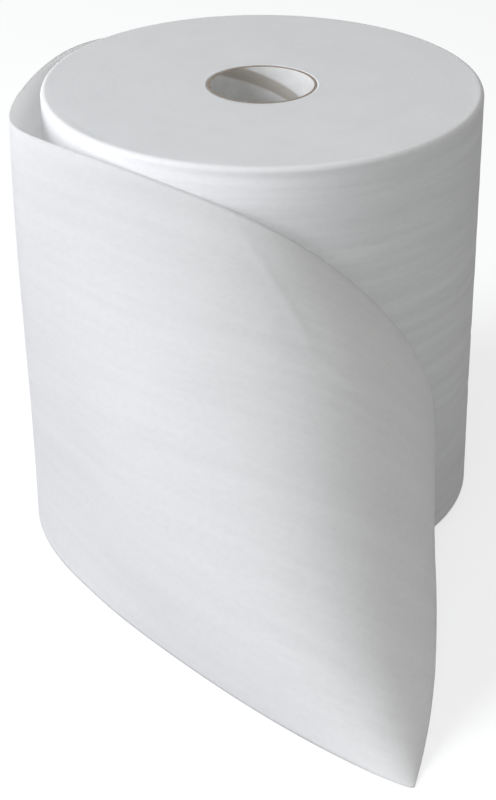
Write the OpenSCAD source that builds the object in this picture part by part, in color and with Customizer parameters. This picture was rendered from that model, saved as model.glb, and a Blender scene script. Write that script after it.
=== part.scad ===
// Centrefeed paper roll: a wide paper web wound on a cardboard tube, standing on its end.
// Its loose tail stands round the front, then falls back and leans its upper edge on the roll.
// Millimetres. The roll's axis is Z and its base is at z = 0. The tail runs round the -X side to -Y.

/* [Roll] */
// Diameter over the outermost turn
roll_d = 200; // [160:5:240]
// Width of the paper web, which is the height of the standing roll
web_w = 200; // [160:1:240]
// Softening of the outermost turns at both ends
rim_r = 2.5; // [1:0.5:5]
// How many turns show as lines on each end face
turn_lines = 8; // [4:1:20]
// Depth of a turn line
turn_depth = 0.6; // [0.3:0.1:1.2]
// Width of a turn line at the face
turn_width = 1.0; // [0.6:0.1:1.6]

/* [Core] */
// Outer diameter of the cardboard tube, which is the bore of the turns
core_d = 50; // [38:1:60]
// Wall of the cardboard tube
core_wall = 1.5; // [1:0.1:2.5]

/* [Loose tail] */
// Thickness that the loose paper is drawn at
sheet_t = 0.6; // [0.4:0.1:1.2]
// Bearing where the tail leaves the roll, anticlockwise from +X as seen from above
leave_at = 120; // [112:1:126]
// Distance between the upright part of the tail and the roll at its widest
belly = 26.5; // [20:0.5:34]
// Distance from the roll's surface to the cut corner that lies out on the floor
reach = 156; // [132:2:180]
// Clearance between the leaning upper edge and the roll
lean_gap = 1; // [0.8:0.1:3]
// How deep the tail starts inside the outermost turns
root_depth = 1.4; // [1:0.1:2]

/* [Hidden] */
roll_r = roll_d / 2;
core_r = core_d / 2;
bore_r = core_r - core_wall;

// How far a cut runs past the face it opens
cut_over = 1;

// Colours of the two materials
paper_colour = [0.93, 0.94, 0.95];
board_colour = [0.72, 0.60, 0.45];

// Fineness of the round surfaces and of the tail's mesh
round_fn = 72;
rim_fn = 24;
along_steps = 44;
across_steps = 10;

// Turn lines are spread evenly between the core and the softened rim
line_margin = 6;
line_from = core_r + line_margin;
line_to = roll_r - rim_r - line_margin;
line_pitch = (line_to - line_from) / (turn_lines - 1);

core();
paper_roll();

// The cardboard tube, flush with both ends of the roll
module core() {
    color(board_colour)
    difference() {
        cylinder(r = core_r, h = web_w, $fn = round_fn);
        translate([0, 0, -cut_over])
        cylinder(r = bore_r, h = web_w + 2 * cut_over, $fn = round_fn);
    }
}

// The wound turns with the loose tail, one web of paper throughout
module paper_roll() {
    color(paper_colour)
    union() {
        wound_turns();
        loose_tail();
    }
}

// All the wound turns as one body of revolution
module wound_turns() {
    rotate_extrude($fn = round_fn)
    difference() {
        wound_profile();
        for (i = [0 : turn_lines - 1]) {
            turn_line(line_from + i * line_pitch, 0, 1);
            turn_line(line_from + i * line_pitch, web_w, -1);
        }
    }
}

// Half section of the wound turns, with both outer corners softened
module wound_profile() {
    translate([core_r, 0])
    square([roll_r - rim_r - core_r, web_w]);
    translate([core_r, rim_r])
    square([roll_r - core_r, web_w - 2 * rim_r]);
    translate([roll_r - rim_r, rim_r])
    circle(r = rim_r, $fn = rim_fn);
    translate([roll_r - rim_r, web_w - rim_r])
    circle(r = rim_r, $fn = rim_fn);
}

// A shallow V between two neighbouring turns on an end face
module turn_line(r, z, inward) {
    mouth = turn_width / 2 * (1 + cut_over / turn_depth);
    polygon([
        [r - mouth, z - inward * cut_over],
        [r + mouth, z - inward * cut_over],
        [r, z + inward * turn_depth]
    ]);
}

// The tail is a smooth sheet drawn between four guide lines, from the foot on the floor up to the head.
// Each guide point is a bearing, a standoff as a share of reach, and a height as a share of the web.
foot_line = [[238.5, 0.243, 0], [248.5, 0.328, 0], [272, 0.735, 0], [283, 1.028, 0], [283.3, 1, 0]];
low_line = [[232.5, 0.155, 0.43], [245, 0.41, 0.41], [265.5, 0.81, 0.455], [284, 0.70, 0.23],
    [299, 0.485, 0.025]];
high_line = [[217.5, 0.18, 0.65], [252, 0.42, 0.70], [293.5, 0.485, 0.69], [307.5, 0.37, 0.385],
    [296.5, 0.28, 0.39]];

// The head leans on the roll, so its standoff is a share of the roll's radius on top of the lean gap
head_line = [[214.5, 0.155, 1], [268, 0.116, 0.925], [291, 0.046, 0.755], [314, 0.055, 0.50],
    [319.5, 0.026, 0.325]];

// Bearings of the upright part, counted from where the tail leaves the roll
root_turn = 15;
shoulder_turn = 29;
side_turn = 82;
shoulder_share = 0.42;

function polar(bearing, radius, z) = [radius * cos(bearing), radius * sin(bearing), z];
function guide(p) = polar(p[0], roll_r + p[1] * reach, p[2] * web_w);
function lean(p) = polar(p[0], roll_r * (1 + p[1]) + lean_gap, p[2] * web_w);

// The upright part has the same plan shape at every height. Where it leaves the roll, its edges still
// keep to the softened rims.
function within_rims(z) = rim_r + z * (1 - 2 * rim_r / web_w);
function upright(z) = [
    polar(leave_at, roll_r - root_depth, within_rims(z)),
    polar(leave_at + root_turn, (roll_r - root_depth) / cos(root_turn), within_rims(z)),
    polar(leave_at + shoulder_turn, roll_r + belly * shoulder_share, z),
    polar(leave_at + side_turn, roll_r + belly, z)
];

foot_guide = concat(upright(0), [for (p = foot_line) guide(p)]);
low_guide = concat(upright(web_w / 3), [for (p = low_line) guide(p)]);
high_guide = concat(upright(web_w * 2 / 3), [for (p = high_line) guide(p)]);
head_guide = concat(upright(web_w), [for (p = head_line) lean(p)]);
spans = len(foot_guide) - 3;

// Smooth cubic blend along a guide line, held at both ends
function knot(i) = min(max(i - 3, 0), spans);
function ramp(u, a, b) = b > a ? (u - a) / (b - a) : 0;
function fall(u, a, b) = b > a ? (b - u) / (b - a) : 0;
function weight(i, k, u) = k == 0
    ? (knot(i) <= u && u < knot(i + 1) ? 1 : 0)
    : ramp(u, knot(i), knot(i + k)) * weight(i, k - 1, u)
        + fall(u, knot(i + 1), knot(i + k + 1)) * weight(i + 1, k - 1, u);
function weights(u) = [for (i = [0 : len(foot_guide) - 1]) weight(i, 3, u)];

// Cubic curve across the web, from the foot to the head
function shares(v) = [pow(1 - v, 3), 3 * v * pow(1 - v, 2), 3 * v * v * (1 - v), pow(v, 3)];
function station(w) = [w * foot_guide, w * low_guide, w * high_guide, w * head_guide];

last_bit = 0.00001;
inner = [
    for (i = [0 : along_steps])
        let (s = station(weights(min(i / along_steps * spans, spans - last_bit))))
            [for (j = [0 : across_steps]) shares(j / across_steps) * s]
];

// The outer face stands the paper's thickness off the inner one, and never dips under the floor
function unit(v) = v / norm(v);
function at(i, j) = inner[min(max(i, 0), along_steps)][min(max(j, 0), across_steps)];
function outward(i, j) = unit(cross(at(i + 1, j) - at(i - 1, j), at(i, j + 1) - at(i, j - 1)));
function flat_foot(n, j) = j == 0 ? unit([n[0], n[1], max(n[2], 0)]) : n;
outer = [
    for (i = [0 : along_steps])
        [for (j = [0 : across_steps]) inner[i][j] + sheet_t * flat_foot(outward(i, j), j)]
];

// The sheet as one closed skin: its inner face, its outer face, its foot and head edges and its two ends
module loose_tail() {
    row = across_steps + 1;
    sheet = (along_steps + 1) * row;
    points = [for (side = [inner, outer]) for (line = side) for (p = line) p];
    inner_face = [for (i = [0 : along_steps - 1]) for (j = [0 : across_steps - 1])
        each patch(i * row + j, (i + 1) * row + j, (i + 1) * row + j + 1, i * row + j + 1)];
    outer_face = [for (p = inner_face) [sheet + p[2], sheet + p[1], sheet + p[0]]];
    foot_edge = [for (i = [0 : along_steps - 1]) each rim(i * row, (i + 1) * row, sheet)];
    head_edge = [for (i = [0 : along_steps - 1]) each rim((i + 2) * row - 1, (i + 1) * row - 1, sheet)];
    root_end = [for (j = [0 : across_steps - 1]) each rim(j + 1, j, sheet)];
    cut_end = [for (j = [0 : across_steps - 1])
        each rim(along_steps * row + j, along_steps * row + j + 1, sheet)];
    faces = concat(inner_face, outer_face, foot_edge, head_edge, root_end, cut_end);
    polyhedron(points = points, faces = faces, convexity = 6);
}

// One four-cornered patch of the skin as two triangles, and one step of an edge from face to face
function patch(a, b, c, d) = [[a, b, c], [a, c, d]];
function rim(a, b, sheet) = patch(b, a, a + sheet, b + sheet);
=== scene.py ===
# Centrefeed paper roll with a loose tail. Metres, z up, the roll's axis on z, floor at z = 0.
import bmesh
import bpy
import math
import random
import numpy as np
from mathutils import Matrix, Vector, noise


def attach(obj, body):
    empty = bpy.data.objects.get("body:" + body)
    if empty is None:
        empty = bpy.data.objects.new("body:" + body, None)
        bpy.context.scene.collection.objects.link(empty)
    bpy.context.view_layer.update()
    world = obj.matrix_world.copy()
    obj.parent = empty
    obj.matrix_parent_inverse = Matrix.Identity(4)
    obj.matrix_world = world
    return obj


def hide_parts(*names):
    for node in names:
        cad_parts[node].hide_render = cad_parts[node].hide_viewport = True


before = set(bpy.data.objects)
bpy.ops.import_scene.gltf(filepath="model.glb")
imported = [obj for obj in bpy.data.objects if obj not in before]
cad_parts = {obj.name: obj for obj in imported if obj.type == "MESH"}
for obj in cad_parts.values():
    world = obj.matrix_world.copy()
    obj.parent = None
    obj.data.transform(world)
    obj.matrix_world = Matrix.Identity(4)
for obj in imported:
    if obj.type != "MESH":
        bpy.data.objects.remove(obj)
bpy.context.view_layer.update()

mm = 0.001


def linear(hexColour):
    # sRGB hex to the linear colour that a shader wants
    out = []
    for i in (1, 3, 5):
        c = int(hexColour[i:i + 2], 16) / 255
        out.append(c / 12.92 if c <= 0.04045 else ((c + 0.055) / 1.055) ** 2.4)
    return (*out, 1.0)


def grey(v):
    return (v, v, v, 1.0)


def addNode(tree, kind, settings=None, links=None):
    # a node with its settings, socket values and links; a link names a node or one of its sockets
    node = tree.nodes.new(kind)
    for name, value in (settings or {}).items():
        if name == "stops":
            band = node.color_ramp
            while len(band.elements) < len(value):
                band.elements.new(0.5)
            for element, (place, colour) in zip(band.elements, value):
                element.position = place
                element.color = colour
        elif isinstance(name, str) and hasattr(node, name):
            setattr(node, name, value)
        else:
            node.inputs[name].default_value = value
    for name, source in (links or {}).items():
        if isinstance(source, bpy.types.Node):
            source = next(s for s in source.outputs if s.enabled)
        tree.links.new(source, node.inputs[name])
    return node


def newMaterial(name):
    material = bpy.data.materials.new(name)
    material.use_nodes = True
    material.node_tree.nodes.clear()
    return material, material.node_tree


def meshObject(name, points, faces, materials, faceSlots=None, uvs=None, smooth=True):
    mesh = bpy.data.meshes.new(name)
    mesh.from_pydata([tuple(p) for p in points], [], faces)
    for material in materials:
        mesh.materials.append(material)
    if faceSlots is not None:
        mesh.polygons.foreach_set("material_index", faceSlots)
    if uvs is not None:
        layer = mesh.uv_layers.new(name="web")
        corner = np.array([v for face in faces for v in face])
        layer.data.foreach_set("uv", np.asarray(uvs)[corner].astype("f").ravel())
    mesh.polygons.foreach_set("use_smooth", [smooth] * len(mesh.polygons))
    mesh.update()
    thing = bpy.data.objects.new(name, mesh)
    bpy.context.scene.collection.objects.link(thing)
    return thing


paper = {
    "white": "#F2F3F5",        # bleached tissue
    "thin": "#EFF0F2",         # where the fibres lie thinner
    "cloud": 3.2,              # size of the fibre clouds, mm
    "streak": 7.0,             # height of the faint winding streaks, mm
    "crepe": 0.9,              # crepe pitch, mm; drawn about twice as coarse as the real one
    "fibre": 0.7,              # size of a fibre tuft, mm
    "cloudDepth": 0.05,        # relief of the clouds, of the crepe and of the tufts, mm
    "crepeDepth": 0.03,
    "fibreDepth": 0.025,
    "glow": (1.0, 0.985, 0.955, 1.0),       # light that has come through the tissue is a little warmer
    "cutEdge": "#EAECEF",      # the cut edges of the turns, packed together
    "cutShade": "#E8EAED",
    "cutDepth": 0.03,          # relief of the cut edges and of the lint on them, mm
    "lintDepth": 0.04,
    "turnPitch": 0.9,          # pitch of the drawn turns, mm; the real paper is about 0.25 mm
}


def crepedTissue(name, streakDepth, through=0.0):
    # Two-ply tissue creped off a drying drum: soft matt fibres, fine crepe bars across the web and
    # long faint streaks along it from winding; on the wound turns these streaks also carry painted shade
    # that stands for the shading of the winding bands. To the eye it is plain white with a cloudy, ribbed
    # bloom.
    material, tree = newMaterial(name)
    web = addNode(tree, "ShaderNodeUVMap", {"uv_map": "web"})
    stretched = addNode(tree, "ShaderNodeMapping", {"Scale": (1.0, 1.5, 1.0)}, {"Vector": web})
    clouds = addNode(tree, "ShaderNodeTexNoise",
                     {"Scale": 1 / (paper["cloud"] * mm), "Detail": 4.0, "Roughness": 0.6},
                     {"Vector": stretched})
    tufts = addNode(tree, "ShaderNodeTexNoise",
                    {"Scale": 1 / (paper["fibre"] * mm), "Detail": 2.0, "Roughness": 0.7}, {"Vector": web})
    pitch = 1 / (paper["crepe"] * mm)
    across = addNode(tree, "ShaderNodeMapping", {"Scale": (pitch, pitch / 14, 1.0)}, {"Vector": web})
    bars = addNode(tree, "ShaderNodeTexNoise", {"Scale": 1.0, "Detail": 2.0}, {"Vector": across})
    along = addNode(tree, "ShaderNodeMapping", {"Scale": (9.0, 1 / (paper["streak"] * mm), 1.0)},
                    {"Vector": web})       # streaks about 110 mm long
    streaks = addNode(tree, "ShaderNodeTexNoise", {"Scale": 1.0, "Detail": 3.0, "Roughness": 0.6},
                      {"Vector": along})
    tone = addNode(tree, "ShaderNodeValToRGB",
                   {"stops": [(0.32, linear(paper["thin"])), (0.58, linear(paper["white"]))]}, {0: clouds})
    # the streaks darken the tone by streakDepth: the paper's own streaks, and on the wound turns also painted
    # shade for the winding bands
    banding = addNode(tree, "ShaderNodeValToRGB",
                      {"stops": [(0.3, grey(1.0 - streakDepth)), (0.7, grey(1.0))]}, {0: streaks})
    tone = addNode(tree, "ShaderNodeMix", {"data_type": "RGBA", "blend_type": "MULTIPLY", 0: 1.0},
                   {6: tone, 7: banding})
    grain = addNode(tree, "ShaderNodeValToRGB",
                    {"stops": [(0.25, grey(0.988)), (0.75, grey(1.0))]}, {0: tufts})
    tone = addNode(tree, "ShaderNodeMix", {"data_type": "RGBA", "blend_type": "MULTIPLY", 0: 1.0},
                   {6: tone, 7: grain})
    relief = addNode(tree, "ShaderNodeBump", {"Distance": paper["cloudDepth"] * mm, "Strength": 0.22},
                     {"Height": clouds})
    relief = addNode(tree, "ShaderNodeBump", {"Distance": paper["crepeDepth"] * mm, "Strength": 0.5},
                     {"Height": bars, "Normal": relief})
    relief = addNode(tree, "ShaderNodeBump", {"Distance": paper["fibreDepth"] * mm, "Strength": 0.6},
                     {"Height": tufts, "Normal": relief})
    surface = addNode(tree, "ShaderNodeBsdfPrincipled",
                      {"Roughness": 0.95, "IOR": 1.45, "Specular IOR Level": 0.1,
                       "Sheen Weight": 0.04, "Sheen Roughness": 0.6},
                      {"Base Color": tone, "Normal": relief})
    if through:
        warm = addNode(tree, "ShaderNodeMix",
                       {"data_type": "RGBA", "blend_type": "MULTIPLY", 0: 1.0, 7: paper["glow"]}, {6: tone})
        behind = addNode(tree, "ShaderNodeBsdfTranslucent", links={"Color": warm, "Normal": relief})
        surface = addNode(tree, "ShaderNodeMixShader", {0: through}, {1: surface, 2: behind})
    addNode(tree, "ShaderNodeOutputMaterial", links={"Surface": surface})
    return material


def cutTurns():
    # Hundreds of cut paper edges side by side: the saw leaves them matt, fibrous and a little greyer
    # than the faces. To the eye it is a soft grey-white disc with very fine, uneven rings.
    material, tree = newMaterial("cutTurns")
    web = addNode(tree, "ShaderNodeUVMap", {"uv_map": "web"})
    place = addNode(tree, "ShaderNodeTexCoord").outputs["Object"]
    tight = addNode(tree, "ShaderNodeMapping", {"Scale": (1 / (paper["turnPitch"] * mm), 9.0, 1.0)},
                    {"Vector": web})
    fine = addNode(tree, "ShaderNodeTexNoise", {"Scale": 1.0, "Detail": 2.0, "Roughness": 0.6},
                   {"Vector": tight})
    wide = addNode(tree, "ShaderNodeMapping", {"Scale": (150.0, 14.0, 1.0)}, {"Vector": web})   # 7 mm rings
    broad = addNode(tree, "ShaderNodeTexNoise", {"Scale": 1.0, "Detail": 3.0, "Roughness": 0.6},
                    {"Vector": wide})
    lint = addNode(tree, "ShaderNodeTexNoise", {"Scale": 600.0, "Detail": 3.0, "Roughness": 0.65},
                   {"Vector": place})      # 1.7 mm
    haze = addNode(tree, "ShaderNodeTexNoise", {"Scale": 60.0, "Detail": 3.0, "Roughness": 0.6},
                   {"Vector": place})      # 17 mm
    tone = addNode(tree, "ShaderNodeValToRGB",
                   {"stops": [(0.25, linear(paper["cutShade"])), (0.62, linear(paper["cutEdge"]))]},
                   {0: fine})
    for source, low in ((broad, 0.993), (lint, 0.972), (haze, 0.97)):
        shade = addNode(tree, "ShaderNodeValToRGB",
                        {"stops": [(0.3, grey(low)), (0.7, grey(1.0))]}, {0: source})
        tone = addNode(tree, "ShaderNodeMix", {"data_type": "RGBA", "blend_type": "MULTIPLY", 0: 1.0},
                       {6: tone, 7: shade})
    relief = addNode(tree, "ShaderNodeBump", {"Distance": paper["cutDepth"] * mm, "Strength": 0.5},
                     {"Height": fine})
    relief = addNode(tree, "ShaderNodeBump", {"Distance": paper["lintDepth"] * mm, "Strength": 0.6},
                     {"Height": lint, "Normal": relief})
    surface = addNode(tree, "ShaderNodeBsdfPrincipled",
                      {"Roughness": 1.0, "IOR": 1.45, "Specular IOR Level": 0.1},
                      {"Base Color": tone, "Normal": relief})
    addNode(tree, "ShaderNodeOutputMaterial", links={"Surface": surface})
    return material


board = {
    "cut": "#93877C",      # raw greyboard where the tube is sawn
    "pale": "#B8ADA2",
    "liner": "#E2E2E2",    # the white paper that lines the tube
    "linerShade": "#D5D5D5",
    "raw": "#B4AFA8",      # board that shows between two turns of the liner
    "spiral": 62.0,        # pitch of the spiral, mm
    "gap": 0.10,           # share of the pitch that the liner leaves bare
    "soft": 0.02,          # how softly the bare strip ends, as a share of the pitch
    "phase": 0.20,         # share of a turn that the spiral is turned by; the bare strip crosses the mouth
}


def sawnBoard():
    # Recycled greyboard, sawn across: brown-grey fibre with the plies as fine darker rings.
    material, tree = newMaterial("sawnBoard")
    place = addNode(tree, "ShaderNodeTexCoord").outputs["Object"]
    web = addNode(tree, "ShaderNodeUVMap", {"uv_map": "web"})
    rings = addNode(tree, "ShaderNodeMapping", {"Scale": (2500.0, 4.0, 1.0)}, {"Vector": web})   # 0.4 mm
    plies = addNode(tree, "ShaderNodeTexNoise", {"Scale": 1.0, "Detail": 1.0}, {"Vector": rings})
    fibre = addNode(tree, "ShaderNodeTexNoise", {"Scale": 1500.0, "Detail": 3.0, "Roughness": 0.7},
                    {"Vector": place})
    tone = addNode(tree, "ShaderNodeValToRGB",
                   {"stops": [(0.3, linear(board["cut"])), (0.7, linear(board["pale"]))]}, {0: plies})
    speck = addNode(tree, "ShaderNodeValToRGB", {"stops": [(0.3, grey(0.84)), (0.7, grey(1.0))]}, {0: fibre})
    tone = addNode(tree, "ShaderNodeMix", {"data_type": "RGBA", "blend_type": "MULTIPLY", 0: 1.0},
                   {6: tone, 7: speck})
    relief = addNode(tree, "ShaderNodeBump", {"Distance": 0.15 * mm, "Strength": 0.8}, {"Height": fibre})
    surface = addNode(tree, "ShaderNodeBsdfPrincipled",
                      {"Roughness": 0.95, "IOR": 1.45, "Specular IOR Level": 0.15},
                      {"Base Color": tone, "Normal": relief})
    addNode(tree, "ShaderNodeOutputMaterial", links={"Surface": surface})
    return material


def linerPaper():
    # Smooth white paper on the tube's inside, wound in a spiral that doesn't quite meet: a slightly
    # cloudy white, with a strip of the grey board showing between two turns of it.
    material, tree = newMaterial("linerPaper")
    web = addNode(tree, "ShaderNodeUVMap", {"uv_map": "web"})
    parts = addNode(tree, "ShaderNodeSeparateXYZ", links={0: web})
    girth = 2 * math.pi * core["bore"] * mm
    turn = addNode(tree, "ShaderNodeMath", {"operation": "DIVIDE", 1: -girth}, {0: parts.outputs[0]})
    climb = addNode(tree, "ShaderNodeMath", {"operation": "DIVIDE", 1: board["spiral"] * mm},
                    {0: parts.outputs[1]})
    both = addNode(tree, "ShaderNodeMath", {"operation": "ADD"}, {0: turn, 1: climb})
    moved = addNode(tree, "ShaderNodeMath", {"operation": "ADD", 1: board["phase"]}, {0: both})
    phase = addNode(tree, "ShaderNodeMath", {"operation": "FRACT"}, {0: moved})
    clouds = addNode(tree, "ShaderNodeTexNoise", {"Scale": 120.0, "Detail": 3.0}, {"Vector": web})   # 8 mm
    white = addNode(tree, "ShaderNodeValToRGB",
                    {"stops": [(0.3, linear(board["linerShade"])), (0.65, linear(board["liner"]))]},
                    {0: clouds})
    edge, soft = board["gap"], board["soft"]
    bare = addNode(tree, "ShaderNodeValToRGB",
                   {"stops": [(0.0, grey(0.0)), (soft, grey(1.0)),
                              (edge, grey(1.0)), (edge + soft, grey(0.0))]}, {0: phase})
    tone = addNode(tree, "ShaderNodeMix", {"data_type": "RGBA", 7: linear(board["raw"])}, {0: bare, 6: white})
    relief = addNode(tree, "ShaderNodeBump", {"Distance": 0.12 * mm, "Strength": 0.6, "invert": True},
                     {"Height": bare})
    relief = addNode(tree, "ShaderNodeBump", {"Distance": 0.05 * mm, "Strength": 0.5},
                     {"Height": clouds, "Normal": relief})
    surface = addNode(tree, "ShaderNodeBsdfPrincipled",
                      {"Roughness": 0.6, "IOR": 1.47, "Specular IOR Level": 0.3},
                      {"Base Color": tone, "Normal": relief})
    addNode(tree, "ShaderNodeOutputMaterial", links={"Surface": surface})
    return material


# the core is a spiral-wound tube, its ends flush with the turns
core = {
    "outer": 25.0,     # mm
    "bore": 23.5,
    "height": 200.0,
    "easing": 0.25,    # softening of the sawn corners, mm
    "around": 160,
    "unround": 0.12,   # mm, a hand-wound tube isn't a perfect circle
}


def weld(thing):
    # joins the first and last column of a revolved mesh; the UV map keeps its break
    work = bmesh.new()
    work.from_mesh(thing.data)
    bmesh.ops.remove_doubles(work, verts=work.verts, dist=1e-6)
    bmesh.ops.recalc_face_normals(work, faces=work.faces)
    work.to_mesh(thing.data)
    work.free()


def revolve(name, profile, around, materials, slotOf, uvOf, shape):
    # a closed profile of (radius, z) turned round the z axis; shape(r, a, z) gives the final point
    count = len(profile)
    points, uvs, faces, slots = [], [], [], []
    for i in range(around + 1):
        a = 2 * math.pi * i / around
        for k, (r, z) in enumerate(profile):
            points.append(shape(r, a, z))
            uvs.append(uvOf(r, a, z, k))
    for i in range(around):
        for k in range(count):
            n = (k + 1) % count
            faces.append((i * count + k, (i + 1) * count + k, (i + 1) * count + n, i * count + n))
            slots.append(slotOf(k))
    thing = meshObject(name, points, faces, materials, slots, uvs)
    weld(thing)
    return thing


def spread(a, b, count):
    # evenly spaced values from a to b, without b
    return [a + (b - a) * i / count for i in range(count)]


def makeCore():
    r0, r1, h, e = core["bore"], core["outer"], core["height"], core["easing"]
    profile, part = [], []

    def run(points, slot):
        profile.extend(points)
        part.extend([slot] * len(points))
    run([(r0, z) for z in spread(h - e, e, 60)], 1)                      # the bore, downwards
    run([(r0, e), (r0 + e * 0.3, e * 0.3)], 0)
    run([(r, 0.0) for r in spread(r0 + e, r1 - e, 6)], 0)
    run([(r1 - e, 0.0), (r1, e)], 0)
    run([(r1, z) for z in spread(e * 2, h - e, 8)], 0)                   # hidden against the turns
    run([(r1, h - e), (r1 - e * 0.3, h - e * 0.3)], 0)
    run([(r, h) for r in spread(r1 - e, r0 + e, 6)], 0)
    run([(r0 + e, h), (r0 + e * 0.3, h - e * 0.3)], 0)

    def shape(r, a, z):
        wobble = core["unround"] * math.sin(2 * a + 0.6) * (r1 - r) / (r1 - r0)
        return Vector(((r + wobble) * math.cos(a), (r + wobble) * math.sin(a), z)) * mm

    def uvOf(r, a, z, k):
        return (r0 * a * mm, z * mm) if part[k] == 1 else (r * mm, a)
    tube = revolve("core_tube", profile, core["around"], [sawnBoard(), linerPaper()],
                   lambda k: part[k], uvOf, shape)
    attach(tube, "root")
    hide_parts("core")
    return tube


makeCore()
print("core made")


turns = {
    "radius": 100.0,       # mm
    "seat": 25.0,
    "height": 200.0,
    "rim": 2.5,            # softened outer edge, mm
    "around": 240,
    "rings": 76,           # rings across an end face
    "rows": 190,           # rows up the side
    "pitch": 3.1,          # spacing of the drawn spiral of turns, mm
    "ridge": 0.02,         # height of that spiral's ridges, mm
    "heave": 0.22,         # slow unevenness of the end faces, mm
    "bandHeight": 0.10,    # bulge of the winding bands on the side, mm
    "sag": 0.25,           # how far the roll is out of round, mm
    # winding wrinkles that run round the side: height, bearing of the middle, half length in degrees,
    # depth and half width, all but the degrees in mm
    "wrinkles": [(194, 268, 46, 0.28, 2.4), (184, 312, 38, 0.24, 2.2), (171, 322, 34, 0.45, 2.2),
                 (162, 304, 44, 0.45, 2.3), (151, 330, 34, 0.42, 2.4), (139, 326, 30, 0.42, 2.3),
                 (118, 334, 24, 0.30, 2.8), (96, 330, 28, 0.26, 2.8)],
    "moreWrinkles": 22,    # others, strewn over the rest of the side
    "streaks": 0.09,       # darkness of the faint streaks in the outermost turn: partly the paper's own streaks, partly painted shade for the winding bands
}


def strewWrinkles():
    # the wrinkles seen in front, and random ones for the back, in the same five values
    dice = random.Random(11)
    found = list(turns["wrinkles"])
    for i in range(turns["moreWrinkles"]):
        found.append((dice.uniform(12, 188), dice.uniform(-10, 250), dice.uniform(20, 48),
                      dice.uniform(0.16, 0.38), dice.uniform(2.0, 3.2)))
    return found


def faceRelief(r, a):
    # height of an end face over its plane, mm: an uneven spiral of turns on a slow heave
    turn = r / turns["pitch"] - a / (2 * math.pi)
    fineness = 0.5 + 0.5 * noise.noise(Vector((turn * 0.61, 7.3, 2.1 * math.cos(a))))
    ridge = turns["ridge"] * fineness * math.sin(2 * math.pi * turn)
    x, y = r * math.cos(a) / 34, r * math.sin(a) / 34
    heave = turns["heave"] * noise.noise(Vector((x, y, 3.7)))
    edge = min(1.0, (r - turns["seat"]) / 3) * min(1.0, (turns["radius"] - turns["rim"] - r) / 3)
    return (ridge + heave - turns["ridge"]) * max(edge, 0.0)


def sideBulge(a, z, wrinkles):
    # radius added on the side, mm
    band = noise.noise(Vector((0.35 * math.cos(a), 0.35 * math.sin(a), z / 9.0)))
    slow = noise.noise(Vector((1.3 * math.cos(a), 1.3 * math.sin(a), z / 70.0 + 9)))
    dent = 0.0
    for level, middle, half, depth, width in wrinkles:
        off = (math.degrees(a) - middle + 180) % 360 - 180
        if abs(off) < half and abs(z - level) < 4 * width + 3:
            drift = 3.0 * noise.noise(Vector((off / 30, level, 1.7)))
            taper = math.cos(off / half * math.pi / 2) ** 2
            dent += depth * taper * math.exp(-((z - level - drift) / width) ** 2)
    return turns["bandHeight"] * band + turns["sag"] * (slow - 0.6) - dent


def makeTurns():
    r0, r1, h, e = turns["seat"], turns["radius"], turns["height"], turns["rim"]
    flat = r1 - e
    wrinkles = strewWrinkles()
    profile, part = [], []

    def run(points, slot):
        profile.extend(points)
        part.extend([slot] * len(points))
    arc = 8
    run([(r0, z) for z in spread(h, 0, 6)], 2)                                     # hidden seat
    run([(r, 0.0) for r in spread(r0, flat, turns["rings"])], 1)
    run([(flat + e * math.sin(q), e - e * math.cos(q)) for q in spread(0, math.pi / 2, arc)], 0)
    run([(r1, z) for z in spread(e, h - e, turns["rows"])], 0)
    run([(flat + e * math.cos(q), h - e + e * math.sin(q)) for q in spread(0, math.pi / 2, arc)], 0)
    run([(r, h) for r in spread(flat, r0, turns["rings"])], 1)

    def shape(r, a, z):
        if r > flat + 1e-6:
            r = r + sideBulge(a, z, wrinkles) * min(1.0, (r - flat) / e)
        elif 0 < r - r0 and (z == 0.0 or z == h):
            rise = faceRelief(r, a)
            z = z + (rise if z == h else -min(rise, 0.0))
        return Vector((r * math.cos(a), r * math.sin(a), z)) * mm

    def uvOf(r, a, z, k):
        if part[k] == 1:
            return ((r + turns["pitch"] * a / (2 * math.pi)) * mm, a * 0.05)
        return (r1 * a * mm, z * mm)
    tissue = crepedTissue("woundTissue", turns["streaks"])
    wound = revolve("wound_turns", profile, turns["around"], [tissue, cutTurns()],
                    lambda k: min(part[k], 1), uvOf, shape)
    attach(wound, "root")
    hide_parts("paper_roll")
    return wound


makeTurns()
print("wound turns made")


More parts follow.
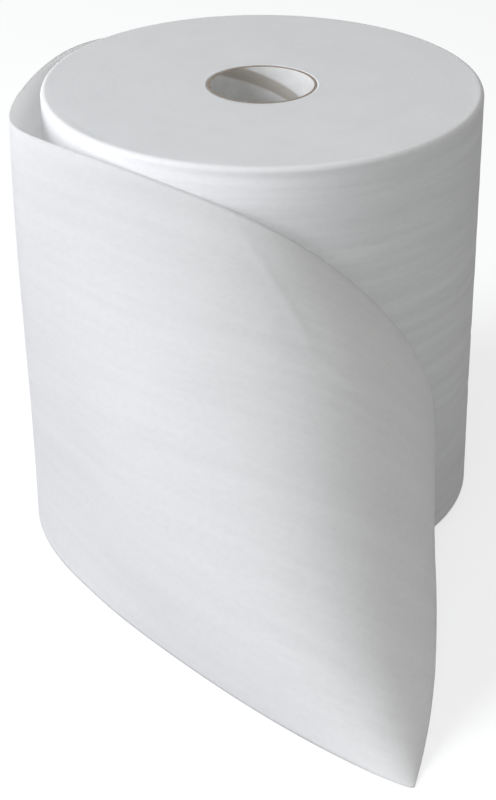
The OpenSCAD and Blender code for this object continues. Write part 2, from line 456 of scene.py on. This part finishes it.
# the loose tail is a sheet drawn between four guide lines, from its foot on the floor up to its head
tail = {
    "rootDepth": 1.0,          # mm inside the outermost turn
    "leaveAt": 120,            # bearing where it leaves the roll, anticlockwise from +x
    "turnings": (0, 15, 29, 82),   # bearings of the upright part, counted from there
    "belly": 26.5,             # stand-off of the upright part, mm
    "shoulder": 0.42,          # share of that stand-off where the tail has just left the roll
    "reach": 156.0,            # from the roll to the cut corner on the floor, mm
    "leanGap": 1.0,            # between the leaning upper edge and the roll, mm
    # bearing, stand-off as a share of reach, height as a share of the web
    "foot": [(238.5, 0.243, 0), (248.5, 0.328, 0), (272, 0.735, 0), (283, 1.028, 0), (283.3, 1, 0)],
    "low": [(232.5, 0.155, 0.43), (245, 0.41, 0.41), (265.5, 0.81, 0.455), (284, 0.70, 0.23),
            (299, 0.485, 0.025)],
    "high": [(217.5, 0.18, 0.65), (252, 0.42, 0.70), (293.5, 0.485, 0.69), (307.5, 0.37, 0.385),
             (296.5, 0.28, 0.39)],
    # bearing, stand-off as a share of the roll's radius, height as a share of the web
    "head": [(214.5, 0.155, 1), (268, 0.116, 0.925), (291, 0.046, 0.755), (314, 0.055, 0.50),
             (319.5, 0.026, 0.325)],
    "length": 0.432,           # m, unrolled
    "thick": 0.32,             # mm
    "along": 290,
    "across": 136,
    "ripple": 0.4,             # soft waves in the hanging paper, mm
    "through": 0.45,           # light that each face of the single sheet lets through
    "streaks": 0.035,          # darkness of the faint streaks in the sheet
    # creases: points as (mm along the web, mm up it), height in mm, half width in mm
    "creases": [([(271, 198), (292, 183), (313, 165), (331, 146)], 0.26, 2.2),
                ([(326, 150), (345, 144), (357, 145), (378, 137), (394, 128)], 0.32, 2.0),
                ([(300, 150), (308, 162), (316, 166)], 0.2, 2.0),
                ([(396, 46), (410, 42), (425, 38)], -0.45, 2.0),
                ([(400, 25), (415, 27), (431, 27)], -0.45, 1.8)],
    "winding": 34,             # faint long streaks left by winding
}


def polar(bearing, radius, z):
    a = math.radians(bearing)
    return [radius * math.cos(a), radius * math.sin(a), z]


def guideNet():
    r, h, reach, e = turns["radius"], turns["height"], tail["reach"], turns["rim"]
    inside = r - tail["rootDepth"]
    radii = (inside, inside / math.cos(math.radians(tail["turnings"][1])),
             r + tail["belly"] * tail["shoulder"], r + tail["belly"])
    net = []
    for share, name in ((0, "foot"), (1 / 3, "low"), (2 / 3, "high"), (1, "head")):
        # where it leaves the roll its edges still keep to the softened rims
        heights = [e + (h - 2 * e) * share] * 2 + [h * share] * 2
        line = [polar(tail["leaveAt"] + t, q, z) for t, q, z in zip(tail["turnings"], radii, heights)]
        for bearing, off, up in tail[name]:
            radius = r * (1 + off) + tail["leanGap"] if name == "head" else r + off * reach
            line.append(polar(bearing, radius, h * up))
        net.append(line)
    return np.array(net)           # lines, stations, xyz


def splineWeights(u, count):
    # clamped uniform cubic B-spline weights
    spans = count - 3
    knots = [min(max(i - 3, 0), spans) for i in range(count + 4)]
    w = [1.0 if knots[i] <= u < knots[i + 1] else 0.0 for i in range(count + 3)]
    for k in range(1, 4):
        for i in range(count + 3 - k):
            a, b = knots[i + k] - knots[i], knots[i + k + 1] - knots[i + 1]
            left = (u - knots[i]) / a * w[i] if a else 0.0
            right = (knots[i + k + 1] - u) / b * w[i + 1] if b else 0.0
            w[i] = left + right
    return np.array(w[:count])


def tailSurface():
    net = guideNet()
    count = net.shape[1]
    n, m = tail["along"], tail["across"]
    rows = [splineWeights(min(i / n * (count - 3), count - 3 - 1e-6), count) for i in range(n + 1)]
    v = np.linspace(0, 1, m + 1)
    bezier = np.stack([(1 - v) ** 3, 3 * v * (1 - v) ** 2, 3 * v * v * (1 - v), v ** 3])
    return np.einsum("is,lsc,lj->ijc", np.array(rows), net, bezier)


def normalsOf(grid):
    du, dv = np.gradient(grid, axis=0), np.gradient(grid, axis=1)
    n = np.cross(du, dv)
    return n / np.linalg.norm(n, axis=2, keepdims=True)


def creaseHeight(along, up):
    # height of all creases and winding streaks over the smooth sheet, mm
    dice = random.Random(5)
    lines = list(tail["creases"])
    for i in range(tail["winding"]):
        start, level = dice.uniform(120, 360), dice.uniform(8, 190)
        slope = dice.uniform(-0.04, 0.04)
        length = dice.uniform(60, 150)
        bend = dice.uniform(-3, 3)
        lines.append(([(start, level), (start + length / 2, level + slope * length / 2 + bend),
                       (start + length, level + slope * length)],
                      dice.choice((-1, 1)) * dice.uniform(0.06, 0.12), dice.uniform(2.0, 4.0)))
    total = np.zeros_like(along)
    for points, height, width in lines:
        lengths = [math.dist(a, b) for a, b in zip(points, points[1:])]
        whole, passed = sum(lengths), 0.0
        best = np.full(along.shape, 1e9)
        reached = np.zeros_like(along)
        for (ax, ay), (bx, by), length in zip(points, points[1:], lengths):
            t = np.clip(((along - ax) * (bx - ax) + (up - ay) * (by - ay)) / length ** 2, 0, 1)
            d = np.hypot(along - ax - t * (bx - ax), up - ay - t * (by - ay))
            closer = d < best
            best = np.where(closer, d, best)
            reached = np.where(closer, (passed + t * length) / whole, reached)
            passed += length
        taper = np.clip(np.minimum(reached, 1 - reached) * 5, 0, 1)
        total += height * taper * np.exp(-(best / width) ** 2)
    return total


def makeTail():
    grid = tailSurface()
    n, m = tail["along"], tail["across"]
    normal = normalsOf(grid)
    steps = np.linalg.norm(np.diff(grid[:, m // 2], axis=0), axis=1)
    s = np.concatenate([[0], np.cumsum(steps)])
    web = np.zeros((n + 1, m + 1, 2))
    web[..., 0] = s[:, None]
    web[..., 1] = np.linspace(0, turns["height"], m + 1)[None]
    folds = creaseHeight(web[..., 0], web[..., 1])
    for i in range(n + 1):
        free = min(1.0, max(0.0, (s[i] - 110) / 90))        # the first 110 mm stay smooth
        for j in range(m + 1):
            v = j / m
            hold = free * min(1.0, v / 0.08) * min(1.0, (1 - v) / 0.1)
            wave = noise.noise(Vector((s[i] / 55, web[i, j, 1] / 80, 4.2)))
            wave += noise.noise(Vector((s[i] / 21, web[i, j, 1] / 34, 8.8))) * 0.35
            edge = min(1.0, v / 0.02) * min(1.0, (1 - v) / 0.02)
            grid[i, j] += normal[i, j] * (tail["ripple"] * wave * hold + folds[i, j] * free * edge)
    normal = normalsOf(grid)
    normal[:, 0, 2] = np.maximum(normal[:, 0, 2], 0)
    outer = grid + normal * tail["thick"]
    row = m + 1
    sheet = (n + 1) * row
    points = np.concatenate([grid.reshape(-1, 3), outer.reshape(-1, 3)]) * mm
    uvs = np.concatenate([web.reshape(-1, 2)] * 2) * mm
    faces = []
    for i in range(n):
        for j in range(m):
            a, b, c, d = i * row + j, (i + 1) * row + j, (i + 1) * row + j + 1, i * row + j + 1
            faces.append((d, c, b, a))
            faces.append((a + sheet, b + sheet, c + sheet, d + sheet))
    for i in range(n):
        a, b = i * row, (i + 1) * row
        faces.append((a, b, b + sheet, a + sheet))
        a, b = i * row + m, (i + 1) * row + m
        faces.append((b, a, a + sheet, b + sheet))
    for j in range(m):
        a, b = j, j + 1
        faces.append((b, a, a + sheet, b + sheet))
        a, b = n * row + j, n * row + j + 1
        faces.append((a, b, b + sheet, a + sheet))
    tissue = crepedTissue("tailTissue", tail["streaks"], tail["through"])
    loose = meshObject("loose_tail", points, faces, [tissue], uvs=uvs)
    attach(loose, "root")
    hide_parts("paper_roll")
    return loose


makeTail()
print("loose tail made")


studio = {
    "floor": "#BFC0C2",
    "floorGlow": 0.62,                        # lifts the floor to white where it is seen; its shadow stays
    "floorSize": 6.0,                         # half of its side, m
    "sky": (0.358, 0.356, 0.338, 1.0),        # light that the room gives from all sides
    "target": (0.0, -0.04, 0.09),
    # place, diameter, power and colour of each soft lamp
    "lamps": {"key": ((-1.75, -0.75, 1.05), 1.2, 38.0, (0.95, 0.96, 1.0)),
              "fill": ((0.0, -1.52, 1.57), 1.2, 5.1, (1.0, 1.0, 1.0))},
    "lens": 96.75,                            # mm, on a sensor 36 mm high
    "sensor": 36.0,
    "eye": (-0.00632, -0.920, 0.5355),
    "pitch": 61.6,                            # degrees up from straight down
}


def seenRays(tree):
    # 1 for camera, glossy and transmission rays
    path = addNode(tree, "ShaderNodeLightPath")
    seen = addNode(tree, "ShaderNodeMath", {"operation": "MAXIMUM"},
                   {0: path.outputs["Is Camera Ray"], 1: path.outputs["Is Glossy Ray"]})
    return addNode(tree, "ShaderNodeMath", {"operation": "MAXIMUM"},
                   {0: seen, 1: path.outputs["Is Transmission Ray"]})


def makeStudio():
    size = studio["floorSize"]
    points = [(-size, -size, 0), (size, -size, 0), (size, size, 0), (-size, size, 0)]
    material, tree = newMaterial("floorPaper")
    plain = addNode(tree, "ShaderNodeBsdfDiffuse", {"Color": linear(studio["floor"])})
    level = addNode(tree, "ShaderNodeMath", {"operation": "MULTIPLY", 1: studio["floorGlow"]},
                    {0: seenRays(tree)})
    glow = addNode(tree, "ShaderNodeEmission", {"Color": (1, 1, 1, 1)}, {"Strength": level})
    both = addNode(tree, "ShaderNodeAddShader", links={0: plain, 1: glow})
    addNode(tree, "ShaderNodeOutputMaterial", links={"Surface": both})
    floor = meshObject("floor", points, [(0, 1, 2, 3)], [material], smooth=False)
    floor.location.z = -0.2 * mm

    world = bpy.data.worlds.new("studio")
    world.use_nodes = True
    tree = world.node_tree
    tree.nodes.clear()
    level = addNode(tree, "ShaderNodeMix", {"data_type": "RGBA", 6: studio["sky"], 7: grey(1.0)},
                    {0: seenRays(tree)})
    back = addNode(tree, "ShaderNodeBackground", {"Strength": 1.0}, {"Color": level})
    addNode(tree, "ShaderNodeOutputWorld", links={"Surface": back})
    bpy.context.scene.world = world

    for name, (place, diameter, power, colour) in studio["lamps"].items():
        lamp = bpy.data.lights.new(name, "AREA")
        lamp.shape = "DISK"
        lamp.size = diameter
        lamp.energy = power
        lamp.color = colour
        light = bpy.data.objects.new(name, lamp)
        light.location = place
        aim = Vector(studio["target"]) - light.location
        light.rotation_euler = aim.to_track_quat("-Z", "Y").to_euler()
        bpy.context.scene.collection.objects.link(light)


def makeCamera():
    lens = bpy.data.cameras.new("camera")
    lens.lens = studio["lens"]
    lens.sensor_width = studio["sensor"]
    lens.clip_start = 0.05
    lens.clip_end = 30.0
    camera = bpy.data.objects.new("camera", lens)
    camera.location = studio["eye"]
    camera.rotation_euler = (math.radians(studio["pitch"]), 0, 0)
    bpy.context.scene.collection.objects.link(camera)
    bpy.context.scene.camera = camera


makeStudio()
makeCamera()
bpy.context.scene.view_settings.view_transform = "Standard"
print("studio made")
